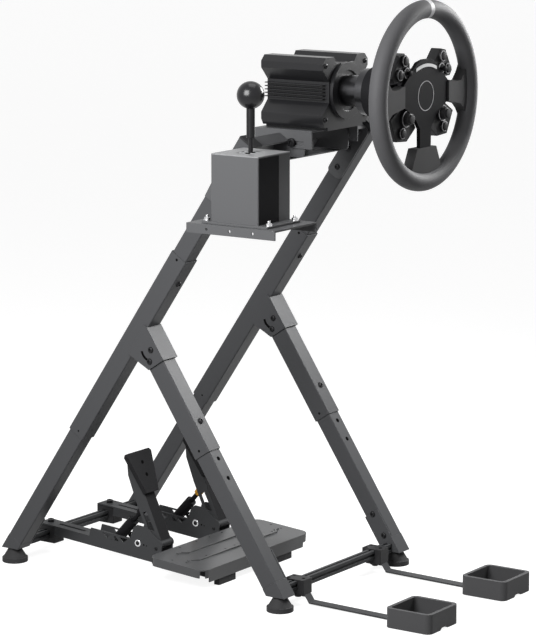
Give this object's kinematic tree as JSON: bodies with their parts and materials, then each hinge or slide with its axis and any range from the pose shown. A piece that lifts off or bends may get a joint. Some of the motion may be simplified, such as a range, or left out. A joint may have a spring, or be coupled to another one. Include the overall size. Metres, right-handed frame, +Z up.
{
  "type": "sim racing rig",
  "caption": "Folding sim racing stand with leaning side frames, a direct-drive wheel motor and steering wheel, a gear lever on a side shelf, sloped pedals and chair caster stops.",
  "frame": {"origin": "on the floor, under the middle of the whole rig", "axes": "+Z up, -Y towards the driver, +X to the driver's right"},
  "size_m": [0.5512, 0.9188, 1.064],
  "materials": {
    "frame_steel": "charcoal powder coat",
    "deck_steel": "black powder coat",
    "pedal_steel": "dark grey powder coat",
    "motor_metal": "dark anodised extrusion",
    "black_metal": "satin black",
    "black_plastic": "moulded black",
    "black_rubber": "matte",
    "grip_leather": "dark stitched grip",
    "bare_steel": "bare"
  },
  "bodies": {
    "frame": {"post_tubes": "frame_steel", "knuckle_brackets": "frame_steel"},
    "upper": {"upper_tubes": "frame_steel", "tube_caps": "black_plastic", "deck_carrier": "deck_steel", "motor_tray": "deck_steel", "motor_housing": "motor_metal", "motor_face": "black_metal", "shelf": "deck_steel", "shifter_base": "deck_steel", "shifter_case": "black_plastic", "shifter_gate": "black_plastic"},
    "steering_wheel": {"wheel_shaft": "bare_steel", "wheel_rim": "grip_leather", "hub_plate": "black_metal", "spoke_grips": "grip_leather", "hub_housing": "black_metal", "button_pods": "black_plastic", "shift_paddles": "bare_steel"},
    "gear_cross": {"cross_shaft": "bare_steel"},
    "gear_lever": {"gear_stick": "bare_steel", "gear_knob": "black_plastic"},
    "rear_legs": {"leg_tubes": "frame_steel", "leg_shoes": "frame_steel", "rear_feet": "black_rubber", "rear_bar": "frame_steel", "rear_clamps": "black_plastic", "throttle_base": "pedal_steel", "brake_base": "pedal_steel", "heel_plate": "pedal_steel", "heel_feet": "black_rubber"},
    "throttle": {"throttle_arm": "pedal_steel", "throttle_pad": "black_rubber"},
    "brake": {"brake_arm": "pedal_steel", "brake_pad": "black_rubber"},
    "throttle_cylinder": {"throttle_damper": "bare_steel"},
    "throttle_plunger": {"throttle_damper_rod": "bare_steel"},
    "brake_cylinder": {"brake_damper": "bare_steel"},
    "brake_plunger": {"brake_damper_rod": "bare_steel"},
    "struts": {"strut_tubes": "frame_steel"},
    "strut_feet": {"strut_legs": "frame_steel", "strut_shoes": "frame_steel", "front_feet": "black_rubber", "front_bar": "frame_steel", "front_clamps": "black_plastic"},
    "left_stop": {"left_stop_bar": "frame_steel", "left_stop_cup": "black_rubber"},
    "right_stop": {"right_stop_bar": "frame_steel", "right_stop_cup": "black_rubber"}
  },
  "joints": [
    {"name": "upper_slide", "type": "slide", "parent": "frame", "child": "upper", "axis": [0, -0.5592, 0.829], "range_m": [-0.075, 0.075]},
    {"name": "leg_slide", "type": "slide", "parent": "frame", "child": "rear_legs", "axis": [0, -0.5592, 0.829], "range_m": [-0.0375, 0.075]},
    {"name": "strut_fold", "type": "hinge", "parent": "frame", "child": "struts", "pos_m": [0.0596, 0.10009, 0.44039], "axis": [1, 0, 0], "range_deg": [0, 50]},
    {"name": "strut_slide", "type": "slide", "parent": "struts", "child": "strut_feet", "axis": [0, -0.5492, -0.8357], "range_m": [-0.075, 0.0375]},
    {"name": "wheel_turn", "type": "hinge", "parent": "upper", "child": "steering_wheel", "pos_m": [0.0596, -0.16967, 0.899], "axis": [0, 1, 0], "continuous": true},
    {"name": "gear_side", "type": "hinge", "parent": "upper", "child": "gear_cross", "pos_m": [-0.2169, -0.15962, 0.75609], "axis": [0, 1, 0], "range_deg": [-14, 14], "stiffness_Nm_per_rad": 8},
    {"name": "gear_fore", "type": "hinge", "parent": "gear_cross", "child": "gear_lever", "pos_m": [-0.2169, -0.15962, 0.75609], "axis": [1, 0, 0], "range_deg": [-11.3, 11.3]},
    {"name": "throttle_press", "type": "hinge", "parent": "rear_legs", "child": "throttle", "pos_m": [0.1506, 0.16293, 0.0526], "axis": [-1, 0, 0], "range_deg": [0, 16], "stiffness_Nm_per_rad": 15, "springref_deg": -8.59},
    {"name": "throttle_cylinder_tilt", "type": "hinge", "parent": "rear_legs", "child": "throttle_cylinder", "pos_m": [0.1506, 0.26859, 0.04837], "axis": [-1, 0, 0], "range_deg": [-0.2, 2.06]},
    {"name": "throttle_plunger_slide", "type": "slide", "parent": "throttle_cylinder", "child": "throttle_plunger", "axis": [0, 0.6792, -0.7339], "range_m": [-0.0005, 0.02187]},
    {"name": "brake_press", "type": "hinge", "parent": "rear_legs", "child": "brake", "pos_m": [-0.0314, 0.16293, 0.0526], "axis": [-1, 0, 0], "range_deg": [0, 16], "stiffness_Nm_per_rad": 45, "springref_deg": -8.59},
    {"name": "brake_cylinder_tilt", "type": "hinge", "parent": "rear_legs", "child": "brake_cylinder", "pos_m": [-0.0314, 0.26859, 0.04837], "axis": [-1, 0, 0], "range_deg": [-0.2, 2.06]},
    {"name": "brake_plunger_slide", "type": "slide", "parent": "brake_cylinder", "child": "brake_plunger", "axis": [0, 0.6792, -0.7339], "range_m": [-0.0005, 0.02187]},
    {"name": "left_stop_swivel", "type": "hinge", "parent": "strut_feet", "child": "left_stop", "pos_m": [-0.0674, -0.15737, 0.018], "axis": [0, 0, 1], "range_deg": [-30, 30]},
    {"name": "right_stop_swivel", "type": "hinge", "parent": "strut_feet", "child": "right_stop", "pos_m": [0.1866, -0.15737, 0.018], "axis": [0, 0, 1], "range_deg": [-30, 30]}
  ],
  "couplings": [
    {"joint": "throttle_cylinder_tilt", "follows": "throttle_press", "ratio": 0.11009},
    {"joint": "throttle_plunger_slide", "follows": "throttle_press", "m_per_rad": 0.076158},
    {"joint": "brake_cylinder_tilt", "follows": "brake_press", "ratio": 0.11009},
    {"joint": "brake_plunger_slide", "follows": "brake_press", "m_per_rad": 0.076158}
  ]
}
